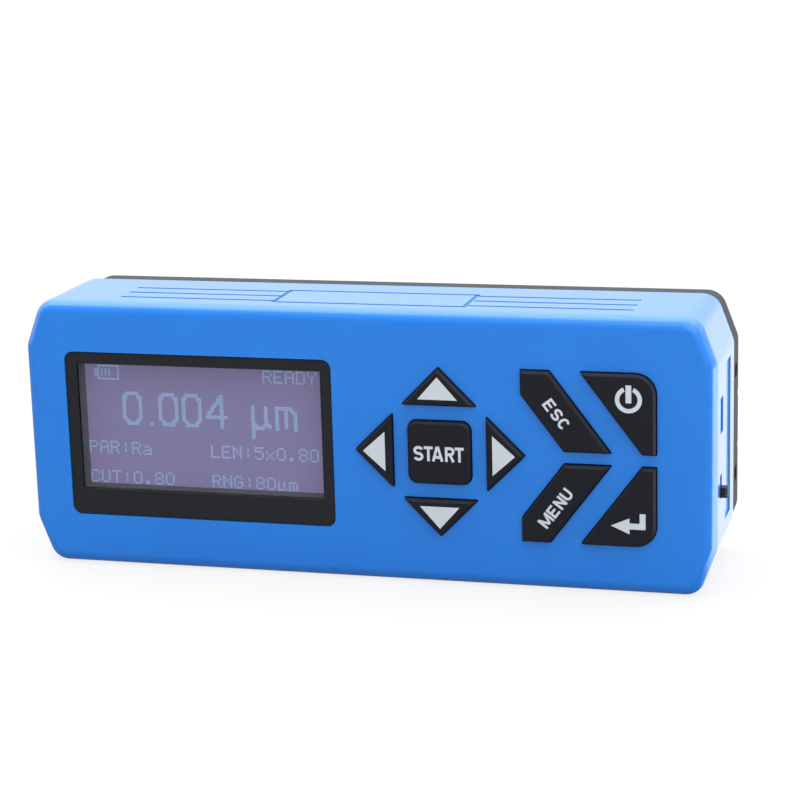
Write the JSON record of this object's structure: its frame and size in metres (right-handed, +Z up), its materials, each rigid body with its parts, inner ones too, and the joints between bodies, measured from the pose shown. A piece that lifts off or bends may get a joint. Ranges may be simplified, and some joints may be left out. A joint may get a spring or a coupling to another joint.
{
  "type": "surface roughness tester",
  "caption": "Hand-held surface roughness tester: slant-cornered housing on a flat base, with display, arrow and command keys, and a motor drive that slides the pickup socket.",
  "frame": {"origin": "middle of the box's underside, on the surface it stands on", "axes": "+X along the length to the socket end, -Y out of the display, +Z up"},
  "size_m": [0.1424, 0.0362, 0.055],
  "materials": {
    "blue_plastic": "satin moulded",
    "grey_base": "matt",
    "clear_plate": "clear acrylic",
    "black_plastic": "fine matt",
    "key_plastic": "satin",
    "grey_plastic": "matt",
    "display": "smooth",
    "white_plastic": "smooth",
    "board": "lacquered",
    "board_parts": "moulded",
    "silicone": "matt",
    "battery_wrap": "shrink wrap",
    "steel": "machined",
    "aluminium": "machined",
    "bronze": "sintered"
  },
  "bodies": {
    "instrument": {"front_housing": "blue_plastic", "rear_base": "grey_base", "display_window": "clear_plate", "display_bezel": "black_plastic", "lcd_holder": "grey_plastic", "lcd_panel": "display", "backlight": "white_plastic", "main_board": "board", "board_parts": "board_parts", "board_screws": "steel", "keypad_mat": "silicone", "socket_shell": "steel", "socket_core": "black_plastic", "switch_body": "black_plastic", "battery_pack": "battery_wrap", "drive_frame": "steel", "frame_screws": "steel", "drive_motor": "steel", "screw_bushes": "bronze", "guide_rods": "steel", "base_screws": "steel"},
    "key_start": {"key_start": "key_plastic"},
    "key_up": {"key_up": "key_plastic"},
    "key_down": {"key_down": "key_plastic"},
    "key_left": {"key_left": "key_plastic"},
    "key_right": {"key_right": "key_plastic"},
    "key_escape": {"key_escape": "key_plastic"},
    "key_menu": {"key_menu": "key_plastic"},
    "key_power": {"key_power": "key_plastic"},
    "key_enter": {"key_enter": "key_plastic"},
    "switch_lever": {"switch_lever": "black_plastic"},
    "drive_screw": {"lead_screw": "steel", "shaft_coupling": "aluminium", "motor_shaft": "steel"},
    "carriage": {"carriage": "aluminium", "rod_bushes": "bronze", "screw_nut": "bronze", "pickup_socket": "steel", "pickup_contacts": "black_plastic"}
  },
  "joints": [
    {"name": "key_start_press", "type": "slide", "parent": "instrument", "child": "key_start", "axis": [0, 1, 0], "range_m": [0, 0.0008], "stiffness_N_per_m": 1500},
    {"name": "key_up_press", "type": "slide", "parent": "instrument", "child": "key_up", "axis": [0, 1, 0], "range_m": [0, 0.0008], "stiffness_N_per_m": 1500},
    {"name": "key_down_press", "type": "slide", "parent": "instrument", "child": "key_down", "axis": [0, 1, 0], "range_m": [0, 0.0008], "stiffness_N_per_m": 1500},
    {"name": "key_left_press", "type": "slide", "parent": "instrument", "child": "key_left", "axis": [0, 1, 0], "range_m": [0, 0.0008], "stiffness_N_per_m": 1500},
    {"name": "key_right_press", "type": "slide", "parent": "instrument", "child": "key_right", "axis": [0, 1, 0], "range_m": [0, 0.0008], "stiffness_N_per_m": 1500},
    {"name": "key_escape_press", "type": "slide", "parent": "instrument", "child": "key_escape", "axis": [0, 1, 0], "range_m": [0, 0.0008], "stiffness_N_per_m": 1500},
    {"name": "key_menu_press", "type": "slide", "parent": "instrument", "child": "key_menu", "axis": [0, 1, 0], "range_m": [0, 0.0008], "stiffness_N_per_m": 1500},
    {"name": "key_power_press", "type": "slide", "parent": "instrument", "child": "key_power", "axis": [0, 1, 0], "range_m": [0, 0.0008], "stiffness_N_per_m": 1500},
    {"name": "key_enter_press", "type": "slide", "parent": "instrument", "child": "key_enter", "axis": [0, 1, 0], "range_m": [0, 0.0008], "stiffness_N_per_m": 1500},
    {"name": "switch_slide", "type": "slide", "parent": "instrument", "child": "switch_lever", "axis": [0, 0, 1], "range_m": [0, 0.002]},
    {"name": "screw_turn", "type": "hinge", "parent": "instrument", "child": "drive_screw", "pos_m": [-0.03, 0.01015, 0.021], "axis": [-1, 0, 0], "range_deg": [0, 6300]},
    {"name": "carriage_slide", "type": "slide", "parent": "instrument", "child": "carriage", "axis": [1, 0, 0], "range_m": [0, 0.0175]}
  ],
  "couplings": [
    {"joint": "screw_turn", "follows": "carriage_slide", "rad_per_m": 6283.2}
  ]
}
